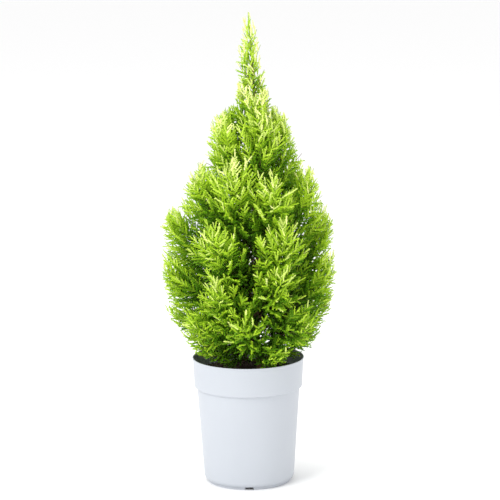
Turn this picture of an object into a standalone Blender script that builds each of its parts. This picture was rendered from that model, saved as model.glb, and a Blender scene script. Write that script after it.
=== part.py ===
"""Potted monterey cypress: a young golden conifer in a pale round nursery pot.

Metres, +Z up. The origin is the middle of the pot's foot, on the surface that it stands on.
+X is to the right and -Y towards the viewer. The pot, its soil, the trunk, the boughs and the
plumes of foliage are separate closed solids, a small gap apart.
"""

import math
from collections import namedtuple

import bmesh
import bpy
import numpy as np
from mathutils import Matrix, Vector

NAME = "potted_monterey_cypress"
GAP = 0.0003
WELD = 0.00001

# Pot, a turned shell with a deep collar and a notched foot ring
POT_HEIGHT = 0.1475
POT_SIDES = 32
WALL = 0.0012
LIP_RADIUS = 0.065
LIP_DEPTH = 0.002
COLLAR_TOP_RADIUS = 0.0643
COLLAR_BOTTOM_RADIUS = 0.0628
COLLAR_BOTTOM = 0.1135
BODY_TOP_RADIUS = 0.0598
BODY_BOTTOM_RADIUS = 0.0524
BODY_BOTTOM = 0.0072
FOOT_RADIUS = 0.048
FOOT_HEIGHT = 0.0031
FOOT_WIDTH = 0.003
FLOOR_THICKNESS = 0.0015
NOTCH_COUNT = 4
NOTCH_WIDTH = 0.0095
DRAIN_RADIUS = 0.0042
DRAIN_RING_RADIUS = 0.03

# Soil, filled to below the rim
SOIL_TOP = 0.1308
SOIL_SIDES = 16
SOIL_DIP = 0.0016

# Trunk, from its flat cut at soil level to where the green leader takes over
TRUNK_LINE = ((0.0140, 0.000, 0.0), (0.0138, 0.000, 0.03), (0.0105, -0.001, 0.16), (0.0125, 0.002, 0.46),
              (0.0175, 0.002, 0.82), (0.0140, 0.000, 0.93), (0.0106, 0.000, 1.0))
TRUNK_TOP = 0.4485
TRUNK_RADIUS = 0.0034
TRUNK_TIP_RADIUS = 0.0011
FLARE = 0.0019
FLARE_HEIGHT = 0.006
TRUNK_POINTS = 13

# The crown's reach to the left and right of the pot's middle line, by height above the foot
CROWN = ((0.140, 0.050, 0.060), (0.155, 0.070, 0.077), (0.172, 0.081, 0.087), (0.196, 0.099, 0.095),
         (0.225, 0.099, 0.104), (0.300, 0.100, 0.100), (0.340, 0.080, 0.088), (0.378, 0.058, 0.072),
         (0.428, 0.040, 0.047), (0.446, 0.012, 0.030), (0.490, 0.009, 0.018), (0.550, -0.001, 0.009))
TREE_TOP = 0.550
LEADER_TOP_X = 0.0038

# Tiers of plumes round the trunk. Azimuths and rises are in degrees, and bare is the share of
# the limb that is bough. Size scales the plume's width.
Tier = namedtuple("Tier", "plumes tip_height root_height root_spread azimuth root_rise tip_rise bare size")
TIERS = {
    "flank": Tier(3, 0.452, 0.376, 0.020, 35.0, 62.0, 84.0, 0.0, 0.66),
    "shoulder": Tier(5, 0.428, 0.316, 0.024, 2.0, 56.0, 82.0, 0.0, 0.85),
    "upper": Tier(7, 0.366, 0.258, 0.028, -12.9, 46.0, 68.0, 0.0, 1.0),
    "middle": Tier(6, 0.310, 0.214, 0.024, 0.0, 38.0, 58.0, 0.26, 1.10),
    "broad": Tier(7, 0.248, 0.187, 0.024, -12.9, 33.0, 46.0, 0.26, 1.10),
    "low": Tier(7, 0.197, 0.161, 0.022, -90.0, 30.0, 22.0, 0.0, 1.0),
    "skirt": Tier(4, 0.162, 0.144, 0.008, 200.0, 22.0, -4.0, 0.0, 0.80),
}
LEADER_SIZE = 0.70
TIP_SCATTER = 0.009
AZIMUTH_SCATTER = 7.0
GOLDEN_SHARE = 0.618
Limb = namedtuple("Limb", "line bare start size")
BOUGH_RADIUS = 0.0016
BOUGH_TIP_RADIUS = 0.0011
BOUGH_POINTS = 5

# Foliage: a slim core round a stem, with twigs, toothed sprays and slim shoots that stand out
STEM_RADIUS = 0.0011
STEM_TIP_RADIUS = 0.0006
STEM_POINTS = 5
STEM_SHARE = 0.82
CORE_RADIUS = 0.0095
CORE_START = 0.22
LEADER_START = 0.05
BOUGH_OVERLAP = 0.05
CORE_END = 0.80
CORE_POINTS = 5
CORE_SIDES = 5
PLUME_HALF_WIDTH = 0.028
TWIG_RADIUS = 0.0010
TWIG_LENGTH = 0.007
SHOOTS = 13
TWIG_EVERY = 6
SHOOT_SIZE = (1.0, 0.42, 0.14)
SPRAY_SIZE = (1.0, 0.48, 0.11)
SPRAY_SHARE = 1.1
TEETH = 2
SINK = 0.003
GOLDEN_ANGLE = math.radians(137.5)
SPACE_MARGIN = 0.0008
LIMB_MARGIN = 0.0008
REACH_MARGIN = 0.003
ATTEMPTS = 8
SEED = 41


def clear_scene():
    for thing in list(bpy.data.objects):
        bpy.data.objects.remove(thing, do_unlink=True)


def new_collection(name, parent=None):
    group = bpy.data.collections.new(name)
    (parent or bpy.context.scene.collection).children.link(group)
    return group


def finish_material(name, colour, roughness):
    material = bpy.data.materials.new(name)
    material.use_nodes = True
    shader = material.node_tree.nodes["Principled BSDF"]
    shader.inputs["Base Color"].default_value = (*colour, 1.0)
    shader.inputs["Roughness"].default_value = roughness
    shader.inputs["Metallic"].default_value = 0.0
    return material


def mesh_object(name, shape, group, matrix=None):
    """An object from a bmesh, which is freed."""
    mesh = bpy.data.meshes.new(name)
    shape.to_mesh(mesh)
    shape.free()
    thing = bpy.data.objects.new(name, mesh)
    thing.matrix_world = matrix or Matrix.Identity(4)
    group.objects.link(thing)
    return thing


def as_helper(thing):
    thing.hide_render = True
    thing.display_type = "WIRE"


def evaluated_mesh(thing):
    """The object's mesh with its modifiers applied."""
    graph = bpy.context.evaluated_depsgraph_get()
    graph.update()
    return bpy.data.meshes.new_from_object(thing.evaluated_get(graph), depsgraph=graph)


def boolean(thing, operation, other):
    """Add a Boolean with an object or with a whole collection."""
    modifier = thing.modifiers.new(operation.lower(), "BOOLEAN")
    modifier.operation = operation
    modifier.solver = "EXACT"
    if isinstance(other, bpy.types.Collection):
        modifier.operand_type = "COLLECTION"
        modifier.collection = other
    else:
        modifier.object = other
    return modifier


def turned(name, profile, sides, group):
    """A solid turned about Z from (radius, height) points that run down its outer side."""
    shape = bmesh.new()
    rows = [shape.verts.new((radius, 0.0, height)) for radius, height in profile]
    for upper, lower in zip(rows, rows[1:]):
        shape.edges.new((upper, lower))
    thing = mesh_object(name, shape, group)
    screw = thing.modifiers.new("turn", "SCREW")
    screw.steps = sides
    screw.render_steps = sides
    screw.use_merge_vertices = True
    screw.merge_threshold = WELD
    thing.data.shade_smooth()
    return thing


def pot_profile():
    """Outer side, foot and inner side of the pot as (radius, height) points."""
    foot_inner = FOOT_RADIUS - FOOT_WIDTH
    floor_top = FOOT_HEIGHT + FLOOR_THICKNESS
    return [
        (LIP_RADIUS, POT_HEIGHT),
        (LIP_RADIUS, POT_HEIGHT - LIP_DEPTH),
        (COLLAR_TOP_RADIUS, POT_HEIGHT - 1.5 * LIP_DEPTH),
        (COLLAR_BOTTOM_RADIUS, COLLAR_BOTTOM),
        (BODY_TOP_RADIUS, COLLAR_BOTTOM - WALL),
        (BODY_BOTTOM_RADIUS, BODY_BOTTOM),
        (0.5 * (BODY_BOTTOM_RADIUS + FOOT_RADIUS) + 0.3 * FOOT_WIDTH, 0.62 * BODY_BOTTOM),
        (FOOT_RADIUS, FOOT_HEIGHT),
        (FOOT_RADIUS, 0.0),
        (foot_inner, 0.0),
        (foot_inner, FOOT_HEIGHT),
        (0.0, FOOT_HEIGHT),
        (0.0, floor_top),
        (BODY_BOTTOM_RADIUS - 3.0 * WALL, floor_top),
        (BODY_BOTTOM_RADIUS - WALL, BODY_BOTTOM + WALL),
        (BODY_TOP_RADIUS - WALL, COLLAR_BOTTOM),
        (COLLAR_BOTTOM_RADIUS - WALL, COLLAR_BOTTOM + WALL),
        (LIP_RADIUS - WALL, POT_HEIGHT),
        (LIP_RADIUS, POT_HEIGHT),
    ]


def build_pot(parts, helpers):
    pot = turned("pot", pot_profile(), POT_SIDES, parts)
    for index in range(NOTCH_COUNT):
        azimuth = math.radians(index * 360.0 / NOTCH_COUNT - 90.0)
        notch = bmesh.new()
        bmesh.ops.create_cube(notch, size=1.0)
        size = Matrix.Diagonal((4.0 * FOOT_WIDTH, NOTCH_WIDTH, 2.0 * FOOT_HEIGHT - GAP, 1.0))
        place = Matrix.Rotation(azimuth, 4, "Z") @ Matrix.Translation((FOOT_RADIUS, 0.0, 0.0))
        cutter = mesh_object(f"notch_cutter_{index + 1}", notch, helpers, place @ size)
        as_helper(cutter)
        boolean(pot, "DIFFERENCE", cutter)
        drain = bmesh.new()
        bmesh.ops.create_cone(drain, cap_ends=True, segments=8, radius1=DRAIN_RADIUS,
                              radius2=DRAIN_RADIUS, depth=8.0 * FLOOR_THICKNESS)
        turn = Matrix.Rotation(azimuth + math.pi / NOTCH_COUNT, 4, "Z")
        place = turn @ Matrix.Translation((DRAIN_RING_RADIUS, 0.0, FOOT_HEIGHT))
        cutter = mesh_object(f"drain_cutter_{index + 1}", drain, helpers, place)
        as_helper(cutter)
        boolean(pot, "DIFFERENCE", cutter)
    pot.data.materials.append(finish_material("pot_plastic", (0.72, 0.76, 0.83), 0.45))
    return pot


def wall_inside(height):
    """The pot's inner radius at a height, between its two widths."""
    collar = COLLAR_BOTTOM + WALL
    if height > collar:
        share = (height - collar) / (POT_HEIGHT - collar)
        return COLLAR_BOTTOM_RADIUS - WALL + share * (LIP_RADIUS - COLLAR_BOTTOM_RADIUS)
    share = (height - BODY_BOTTOM - WALL) / (COLLAR_BOTTOM - BODY_BOTTOM - WALL)
    return BODY_BOTTOM_RADIUS - WALL + min(share, 1.0) * (BODY_TOP_RADIUS - BODY_BOTTOM_RADIUS)


def build_soil(parts):
    """Soil that fills the pot, a gap clear of it, with a level top that dips at the wall."""
    bottom = FOOT_HEIGHT + FLOOR_THICKNESS + GAP
    edge = SOIL_TOP - SOIL_DIP
    profile = [
        (0.0, SOIL_TOP),
        (0.6 * wall_inside(edge), SOIL_TOP),
        (0.85 * wall_inside(edge), SOIL_TOP - 0.4 * SOIL_DIP),
        (wall_inside(edge) - 2.0 * GAP, edge),
        (wall_inside(COLLAR_BOTTOM) - 2.0 * GAP, COLLAR_BOTTOM),
        (BODY_BOTTOM_RADIUS - WALL - 2.0 * GAP, BODY_BOTTOM + 2.0 * WALL),
        (BODY_BOTTOM_RADIUS - 3.0 * WALL - 2.0 * GAP, bottom),
        (0.0, bottom),
    ]
    soil = turned("soil", profile, SOIL_SIDES, parts)
    soil.data.materials.append(finish_material("soil_peat", (0.035, 0.022, 0.014), 0.95))
    return soil


def smooth_line(points, count):
    """Points evenly along a Catmull-Rom curve through the given points."""
    ends = np.vstack([2 * points[0] - points[1], points, 2 * points[-1] - points[-2]])
    at = np.linspace(0.0, len(points) - 1.0, count)
    span = np.minimum(at.astype(int), len(points) - 2)
    t = (at - span)[:, None]
    a, b, c, d = (ends[span + shift] for shift in range(4))
    return 0.5 * (2 * b + (c - a) * t + (2 * a - 5 * b + 4 * c - d) * t**2 + (3 * b - a - 3 * c + d) * t**3)


def trunk_path(count):
    """The trunk's middle line from the soil to its tip."""
    line = np.array(TRUNK_LINE)
    line[:, 2] = SOIL_TOP + GAP + line[:, 2] * (TRUNK_TOP - SOIL_TOP - GAP)
    heights = np.linspace(0.0, 1.0, count) ** 1.35 * (TRUNK_TOP - SOIL_TOP - GAP) + SOIL_TOP + GAP
    fine = smooth_line(line, 200)
    return np.stack([np.interp(heights, fine[:, 2], fine[:, axis]) for axis in range(3)], axis=1)


def trunk_radius(height):
    """The trunk's radius: an even taper and a flare at the foot."""
    share = np.clip((height - SOIL_TOP) / (TRUNK_TOP - SOIL_TOP), 0.0, 1.0)
    taper = TRUNK_RADIUS + share * (TRUNK_TIP_RADIUS - TRUNK_RADIUS)
    return taper + FLARE * np.exp(-(height - SOIL_TOP) / FLARE_HEIGHT)


def trunk_axis(height):
    """The point of the trunk's middle line at a height."""
    line = trunk_path(60)
    return np.array([np.interp(height, line[:, 2], line[:, axis]) for axis in range(3)])


def tube(name, path, radii, group, resolution=1, section=None):
    """A closed limb along a path: a curve with a round bevel, or with a section curve."""
    curve = bpy.data.curves.new(name, "CURVE")
    curve.dimensions = "3D"
    spline = curve.splines.new("POLY")
    spline.points.add(len(path) - 1)
    for point, place, radius in zip(spline.points, path, radii):
        point.co = (*place, 1.0)
        point.radius = radius
    curve.use_fill_caps = True
    if section:
        curve.bevel_mode = "OBJECT"
        curve.bevel_object = section
    else:
        curve.bevel_depth = 1.0
        curve.bevel_resolution = resolution
    source = bpy.data.objects.new(name + "_curve", curve)
    group.objects.link(source)
    mesh = evaluated_mesh(source)
    bpy.data.objects.remove(source, do_unlink=True)
    shape = bmesh.new()
    shape.from_mesh(mesh)
    bpy.data.meshes.remove(mesh)
    bmesh.ops.remove_doubles(shape, verts=shape.verts, dist=WELD)
    bmesh.ops.recalc_face_normals(shape, faces=shape.faces)
    return mesh_object(name, shape, group)


def ring_section(name, sides, helpers):
    """A closed curve of unit radius with a few corners: the section of a stem, twig or core."""
    curve = bpy.data.curves.new(name, "CURVE")
    curve.dimensions = "2D"
    spline = curve.splines.new("POLY")
    spline.points.add(sides - 1)
    for index, point in enumerate(spline.points):
        turn = 2.0 * math.pi * index / sides
        point.co = (math.cos(turn), math.sin(turn), 0.0, 1.0)
    spline.use_cyclic_u = True
    section = bpy.data.objects.new(name, curve)
    helpers.objects.link(section)
    as_helper(section)
    return section


def build_trunk(parts, helpers):
    path = trunk_path(TRUNK_POINTS)
    radii = trunk_radius(path[:, 2])
    trunk = tube("trunk", path, radii, parts, resolution=2)
    trunk.data.materials.append(finish_material("trunk_bark", (0.20, 0.085, 0.035), 0.85))
    trunk.data.shade_smooth()
    clearance = path.copy()
    clearance[0, 2] -= 0.004
    clearance[-1, 2] += GAP
    cutter = tube("trunk_clearance", clearance, radii + GAP, helpers, resolution=2)
    as_helper(cutter)
    return cutter


def crown_ring(height):
    """Middle and radius of the crown's round section at a height, from its two side reaches."""
    rows = np.array(CROWN)
    left = np.interp(height, rows[:, 0], rows[:, 1])
    right = np.interp(height, rows[:, 0], rows[:, 2])
    return 0.5 * (right - left), 0.5 * (right + left)


def bend(start, start_way, end, end_way, count):
    """A cubic curve that leaves its start and meets its end in the given directions."""
    third = np.linalg.norm(end - start) / 3.0
    a, b, c, d = start, start + third * start_way, end - third * end_way, end
    t = np.linspace(0.0, 1.0, count)[:, None]
    return (1 - t) ** 3 * a + 3 * t * (1 - t) ** 2 * b + 3 * t**2 * (1 - t) * c + t**3 * d


def heading(azimuth, rise):
    flat = math.cos(rise)
    return np.array([flat * math.cos(azimuth), flat * math.sin(azimuth), math.sin(rise)])


def limbs_of_crown():
    """Each limb's middle line from the trunk's axis to its plume's tip, its bare share and size."""
    rng = np.random.default_rng(SEED)
    top = np.array([LEADER_TOP_X, 0.0, TREE_TOP])
    line = bend(trunk_axis(TRUNK_TOP) + (0.0, 0.0, GAP), heading(math.pi, 1.50), top, heading(math.pi, 1.52), 41)
    crown = {"leader": Limb(line, 0.0, LEADER_START, LEADER_SIZE)}
    for name, tier in TIERS.items():
        for index in range(tier.plumes):
            turn = tier.azimuth + 360.0 * index / tier.plumes + rng.uniform(-1, 1) * AZIMUTH_SCATTER
            azimuth = math.radians(turn)
            tip_z = tier.tip_height + rng.uniform(-1, 1) * TIP_SCATTER
            root = trunk_axis(tier.root_height + tier.root_spread * ((index * GOLDEN_SHARE) % 1.0 - 0.5))
            middle, radius = crown_ring(tip_z)
            tip = np.array([middle + radius * math.cos(azimuth), radius * math.sin(azimuth), tip_z])
            away = math.atan2(tip[1] - root[1], tip[0] - root[0])
            line = bend(root, heading(away, math.radians(tier.root_rise)), tip,
                        heading(azimuth, math.radians(tier.tip_rise)), 41)
            start = tier.bare + BOUGH_OVERLAP if tier.bare else CORE_START
            crown[f"{name}_{index + 1}"] = Limb(line, tier.bare, start, tier.size)
    return crown


def along(line, share):
    """The point and the direction at a share of a line's length."""
    steps = np.linalg.norm(np.diff(line, axis=0), axis=1)
    travelled = np.concatenate([[0.0], np.cumsum(steps)]) / steps.sum()
    place = np.array([np.interp(share, travelled, line[:, axis]) for axis in range(3)])
    ahead = np.array([np.interp(min(share + 0.02, 1.0), travelled, line[:, axis]) for axis in range(3)])
    behind = np.array([np.interp(max(share - 0.02, 0.0), travelled, line[:, axis]) for axis in range(3)])
    way = ahead - behind
    return place, way / np.linalg.norm(way)


def stretch(line, start, end, count):
    """Evenly spaced points of a line between two shares of its length."""
    return np.array([along(line, share)[0] for share in np.linspace(start, end, count)])


def length_of(line):
    return float(np.linalg.norm(np.diff(line, axis=0), axis=1).sum())


def spray_outline(teeth):
    """Outline of unit length in a ring from the root: each side's teeth and notches, and the tip."""
    side = []
    for tooth in range(teeth):
        share = tooth / teeth
        half = 0.5 * (1.0 - 0.45 * share)
        side.append((0.40 + 0.50 * share, half))
        side.append((0.46 + 0.50 * share, 0.40 * half))
    side = side or [(0.36, 0.5)]
    return [(0.0, 0.0), *side, (1.0, 0.0), *((x, -y) for x, y in reversed(side))]


def spray_mesh(name, teeth):
    """A unit spray: a flat two-sided pyramid on its outline. With no teeth it has 8 faces."""
    ring = spray_outline(teeth)
    shape = bmesh.new()
    bmesh.ops.create_uvsphere(shape, u_segments=len(ring), v_segments=2, radius=1.0)
    belt = [vert for vert in shape.verts if abs(vert.co.z) < 0.5]
    belt.sort(key=lambda vert: -math.atan2(vert.co.y, -vert.co.x) % (2.0 * math.pi))
    for vert in shape.verts:
        if abs(vert.co.z) > 0.5:
            vert.co = Vector((0.42, 0.0, math.copysign(0.5, vert.co.z)))
    for vert, (x, y) in zip(belt, ring):
        vert.co = Vector((x, y, 0.0))
    bmesh.ops.recalc_face_normals(shape, faces=shape.faces)
    mesh = bpy.data.meshes.new(name)
    shape.to_mesh(mesh)
    shape.free()
    return mesh


def frame_matrix(place, way, across, size):
    """A matrix that carries X along a direction, with Y across, at a place and size."""
    way = way / np.linalg.norm(way)
    normal = np.cross(way, across)
    normal /= np.linalg.norm(normal)
    side = np.cross(normal, way)
    matrix = Matrix.Identity(4)
    for column, (axis, scale) in enumerate(zip((way, side, normal), size)):
        for row in range(3):
            matrix[row][column] = axis[row] * scale
    matrix.translation = Vector(place)
    return matrix


def corners_of(matrix, points):
    return np.array([matrix @ Vector(point) for point in points])


def distance(points, line):
    """Each point's distance to the nearest point of a line."""
    return np.linalg.norm(points[:, None, :] - line[None, :, :], axis=2).min(axis=1)


def keeps_to_space(points, own, others, limbs):
    """Whether a piece stays nearest its own stem, inside the crown, and clear of limbs and pot."""
    mine = distance(points, own)
    if any((distance(points, other) < mine + SPACE_MARGIN).any() for other in others):
        return False
    for line, radius in limbs:
        if (distance(points, line) < radius + LIMB_MARGIN).any():
            return False
    middle, radius = crown_ring(points[:, 2])
    outside = np.hypot(points[:, 0] - middle, points[:, 1]) > radius + REACH_MARGIN
    if outside.any() or (points[:, 2] > TREE_TOP + GAP).any():
        return False
    radial = np.hypot(points[:, 0], points[:, 1])
    over_wall = radial > wall_inside(POT_HEIGHT) - 0.003
    floor = np.where(over_wall, POT_HEIGHT + 0.001, SOIL_TOP + 0.004)
    return bool((points[:, 2] > floor).all())


def side_way(way, turn):
    """A unit direction square to a stem, turned about it."""
    up = np.array([0.0, 0.0, 1.0]) if abs(way[2]) < 0.9 else np.array([1.0, 0.0, 0.0])
    first = np.cross(up, way)
    first /= np.linalg.norm(first)
    second = np.cross(way, first)
    return math.cos(turn) * first + math.sin(turn) * second


def plume_width(share):
    """Half width of a plume along its stem, as a share of its widest."""
    return math.sin(math.pi * (0.16 + 0.72 * share)) ** 0.8


def main_body(mesh):
    """The largest closed body of a fused mesh, in triangles: loose scraps and sealed hollows go."""
    shape = bmesh.new()
    shape.from_mesh(mesh)
    bpy.data.meshes.remove(mesh)
    bmesh.ops.triangulate(shape, faces=shape.faces)
    loose, bodies = set(shape.faces), []
    while loose:
        queue = [loose.pop()]
        body = []
        while queue:
            face = queue.pop()
            body.append(face)
            for edge in face.edges:
                found = [other for other in edge.link_faces if other in loose]
                loose.difference_update(found)
                queue += found
        bodies.append(body)
    bodies.sort(key=len)
    bmesh.ops.delete(shape, geom=[face for body in bodies[:-1] for face in body], context="FACES")
    return shape


def core_shape(limb, others, limbs):
    """Places and radii of a plume's core, narrowed where a neighbour or a limb is near."""
    at = np.linspace(limb.start, CORE_END, CORE_POINTS)
    points = np.array([along(limb.line, share)[0] for share in at])
    swell = np.sin(np.pi * np.linspace(0.08, 0.92, CORE_POINTS)) ** 0.75
    radii = CORE_RADIUS * limb.size * swell
    for other in others:
        radii = np.minimum(radii, 0.42 * distance(points, other))
    for line, radius in limbs:
        radii = np.minimum(radii, distance(points, line) - radius - 2.0 * LIMB_MARGIN)
    return at, points, np.maximum(radii, 1.3 * STEM_RADIUS)


def plan_plume(name, crown, limbs, attempt):
    """Places of a plume's pieces: by the golden angle, and only where they keep to its space."""
    rng = np.random.default_rng([SEED, attempt, sum(map(ord, name))])
    limb = crown[name]
    others = [stretch(other.line, other.bare, 1.0, 25) for key, other in crown.items() if key != name]
    own = stretch(limb.line, limb.bare, 1.0, 25)
    core_at, core_points, core_radii = core_shape(limb, others, limbs)
    twigs, shoots, sprays = [], [], []

    def fit(kept, teeth, root, way, across, length, size):
        for shorter in (1.0, 0.82, 0.66):
            matrix = frame_matrix(root, way, across, [shorter * length * side for side in size])
            outline = [(x, y, 0.0) for x, y in spray_outline(teeth)]
            if keeps_to_space(corners_of(matrix, outline)[1:], own, others, limbs):
                kept.append(matrix)
                return True
        return False

    count = SHOOTS - attempt // 2
    for index in range(count):
        share = (index + 0.5) / count
        at = limb.start + (STEM_SHARE - limb.start) * share
        place, way = along(limb.line, at)
        side = side_way(way, index * GOLDEN_ANGLE + rng.uniform(-0.25, 0.25))
        lean = math.radians(52.0 - 24.0 * share + rng.uniform(-5.0, 5.0))
        branch = math.cos(lean) * way + math.sin(lean) * side
        across = np.cross(way, side)
        depth = max(float(np.interp(at, core_at, core_radii)) - SINK, 0.0)
        half_width = limb.size * PLUME_HALF_WIDTH * plume_width(share) * rng.uniform(0.9, 1.1)
        length = max(half_width - depth, 0.006) / math.sin(lean)
        root = place + depth * side
        if index % TWIG_EVERY == TWIG_EVERY - 2:
            end = root + (SINK + TWIG_LENGTH) * branch
            if fit(sprays, TEETH, root + SINK * branch, branch, across, SPRAY_SHARE * length, SPRAY_SIZE):
                twigs.append((root, end))
        else:
            fit(shoots, 0, root, branch, across, length, SHOOT_SIZE)
    place, way = along(limb.line, STEM_SHARE)
    root = place - 2.0 * SINK * way
    ahead = limb.line[-1] - root
    fit(sprays, TEETH, root, ahead, side_way(way, 0.6), np.linalg.norm(ahead), SPRAY_SIZE)
    return core_points, core_radii, twigs, shoots, sprays


def build_plume(name, limb, plan, shapes, sections, cutter, parts, helpers):
    """One mass of foliage: a stem and its core, with twigs, shoots and sprays fused on."""
    core_points, core_radii, twigs, shoots, sprays = plan
    first = limb.bare + (GAP / length_of(limb.line) if limb.bare else 0.0)
    radii = np.linspace(STEM_RADIUS, STEM_TIP_RADIUS, STEM_POINTS)
    stem = tube(name, stretch(limb.line, first, STEM_SHARE, STEM_POINTS), radii, parts, section=sections[0])
    fused = new_collection(name + "_pieces", helpers)
    tube(f"{name}_core", core_points, core_radii, fused, section=sections[1])
    for ends in twigs:
        tube(f"{name}_twig", np.array(ends), (TWIG_RADIUS, 0.6 * TWIG_RADIUS), fused, section=sections[0])
    for mesh, places in zip(shapes, (shoots, sprays)):
        for matrix in places:
            piece = bpy.data.objects.new(f"{name}_piece", mesh)
            piece.matrix_world = matrix
            fused.objects.link(piece)
    boolean(stem, "UNION", fused)
    if not limb.bare:
        boolean(stem, "DIFFERENCE", cutter)
    shape = main_body(evaluated_mesh(stem))
    for piece in [stem, *fused.objects]:
        bpy.data.objects.remove(piece, do_unlink=True)
    bpy.data.collections.remove(fused)
    if not all(edge.is_manifold for edge in shape.edges):
        shape.free()
        return None
    plume = mesh_object(name + "_foliage", shape, parts)
    glow = (float(limb.line[-1, 2]) - SOIL_TOP) / (TREE_TOP - SOIL_TOP)
    colour = (0.17 + 0.26 * glow, 0.37 + 0.22 * glow, 0.02 + 0.03 * glow)
    plume.data.materials.append(finish_material(name + "_needles", colour, 0.6))
    return plume


def build_bough(name, limb, cutter, parts):
    """One tapering limb from the trunk to where its plume begins, cut clear of the trunk."""
    path = stretch(limb.line, 0.0, limb.bare, BOUGH_POINTS)
    radii = np.linspace(BOUGH_RADIUS, BOUGH_TIP_RADIUS, BOUGH_POINTS)
    bough = tube(name + "_bough", path, radii, parts)
    boolean(bough, "DIFFERENCE", cutter)
    bough.data.materials.append(finish_material(name + "_bark", (0.25, 0.11, 0.04), 0.8))
    bough.data.shade_smooth()
    return path


def main():
    clear_scene()
    parts = new_collection(NAME)
    helpers = new_collection(NAME + "_helpers")
    build_pot(parts, helpers)
    build_soil(parts)
    cutter = build_trunk(parts, helpers)
    sections = [ring_section("stem_section", 3, helpers), ring_section("core_section", CORE_SIDES, helpers)]
    shapes = [spray_mesh("shoot", 0), spray_mesh("spray", TEETH)]
    crown = limbs_of_crown()
    limbs = [(trunk_path(80), TRUNK_RADIUS)]
    for name, limb in crown.items():
        if limb.bare:
            path = build_bough(name, limb, cutter, parts)
            limbs.append((smooth_line(path[1:], 20), BOUGH_RADIUS))
    for name, limb in crown.items():
        for attempt in range(ATTEMPTS):
            plan = plan_plume(name, crown, limbs, attempt)
            if build_plume(name, limb, plan, shapes, sections, cutter, parts, helpers):
                break


main()
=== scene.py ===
"""The looks of a potted monterey cypress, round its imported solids.

Metres, +Z up, in the solids' own frame. The sections follow the plant as it is put together:
the pot, its peat, the trunk and the boughs, then the stems, twigs and sprays of needles that
grow on from them, and last the studio.
"""

import math

import bmesh
import bpy
import numpy as np
from mathutils import Matrix, Vector


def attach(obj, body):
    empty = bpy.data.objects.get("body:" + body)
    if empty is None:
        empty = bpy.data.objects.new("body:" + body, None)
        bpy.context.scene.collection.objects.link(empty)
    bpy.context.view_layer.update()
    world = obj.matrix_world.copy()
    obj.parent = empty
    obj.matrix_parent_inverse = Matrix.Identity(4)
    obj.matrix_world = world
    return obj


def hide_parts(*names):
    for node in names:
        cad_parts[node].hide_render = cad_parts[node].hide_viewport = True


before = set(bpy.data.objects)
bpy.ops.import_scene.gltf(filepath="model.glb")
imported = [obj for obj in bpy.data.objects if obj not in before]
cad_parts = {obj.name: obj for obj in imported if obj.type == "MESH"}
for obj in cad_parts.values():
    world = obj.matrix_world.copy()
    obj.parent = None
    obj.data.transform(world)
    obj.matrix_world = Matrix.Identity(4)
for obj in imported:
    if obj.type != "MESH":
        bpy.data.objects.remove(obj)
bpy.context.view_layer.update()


# The pot. A round nursery pot of thin moulded plastic, pale and a little bluish outside, with its
# inner skin coloured near black, a deep collar that lets pots stack, and a foot ring with four notches.
POT_HEIGHT = 0.1475
POT_SIDES = 128
WALL = 0.0012
LIP_RADIUS = 0.065
LIP_DEPTH = 0.002
COLLAR_TOP_RADIUS = 0.0643
COLLAR_BOTTOM_RADIUS = 0.0628
COLLAR_BOTTOM = 0.1135
BODY_TOP_RADIUS = 0.0598
BODY_BOTTOM_RADIUS = 0.0524
BODY_BOTTOM = 0.0072
FOOT_RADIUS = 0.048
FOOT_HEIGHT = 0.0031
FOOT_WIDTH = 0.003
FLOOR_THICKNESS = 0.0015
HEEL_RADIUS = 0.5 * (BODY_BOTTOM_RADIUS + FOOT_RADIUS) + 0.3 * FOOT_WIDTH
HEEL_HEIGHT = 0.62 * BODY_BOTTOM
NOTCH_COUNT = 4
FIRST_NOTCH = -90.0
NOTCH_WIDTH = 0.0095
NOTCH_DEPTH = 4.0 * FOOT_WIDTH
NOTCH_HEIGHT = 0.95 * FOOT_HEIGHT
DRAIN_RADIUS = 0.0042
DRAIN_RING_RADIUS = 0.03
DRAIN_SIDES = 24
EDGE_ROUND = 0.0006
LARGEST_CUT = 0.3
GUARD_CUT = 0.4
WELD_DISTANCE = 0.00001
CREASE_ANGLE = 50.0
SKIN_CLEAR = 0.0002
PALE = (0.50, 0.53, 0.575)
PALE_CLOUDS = ((0.485, 0.512, 0.558), (0.52, 0.548, 0.594))
CLOUD_SCALE = 18.0
GRAIN_SCALE = 900.0
GRAIN_DEPTH = 0.00004
DARK = (0.018, 0.018, 0.016)
DARK_DUST = ((0.012, 0.012, 0.011), (0.035, 0.030, 0.024))
DUST_SCALE = 120.0
# A Mix node's sockets for colours, by number, because their names repeat.
MIX_SHARE, MIX_FIRST, MIX_SECOND, MIX_COLOUR = 0, 6, 7, 2


class Wire:
    """An output socket of a finish. Arithmetic on it adds Math nodes to the finish."""

    def __init__(self, finish, socket):
        self.finish = finish
        self.socket = socket

    def math(self, operation, first, second):
        return self.finish.node("ShaderNodeMath", {"operation": operation}, {0: first, 1: second})

    def __add__(self, other):
        return self.math("ADD", self, other)

    def __mul__(self, other):
        return self.math("MULTIPLY", self, other)

    __radd__ = __add__
    __rmul__ = __mul__


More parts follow.
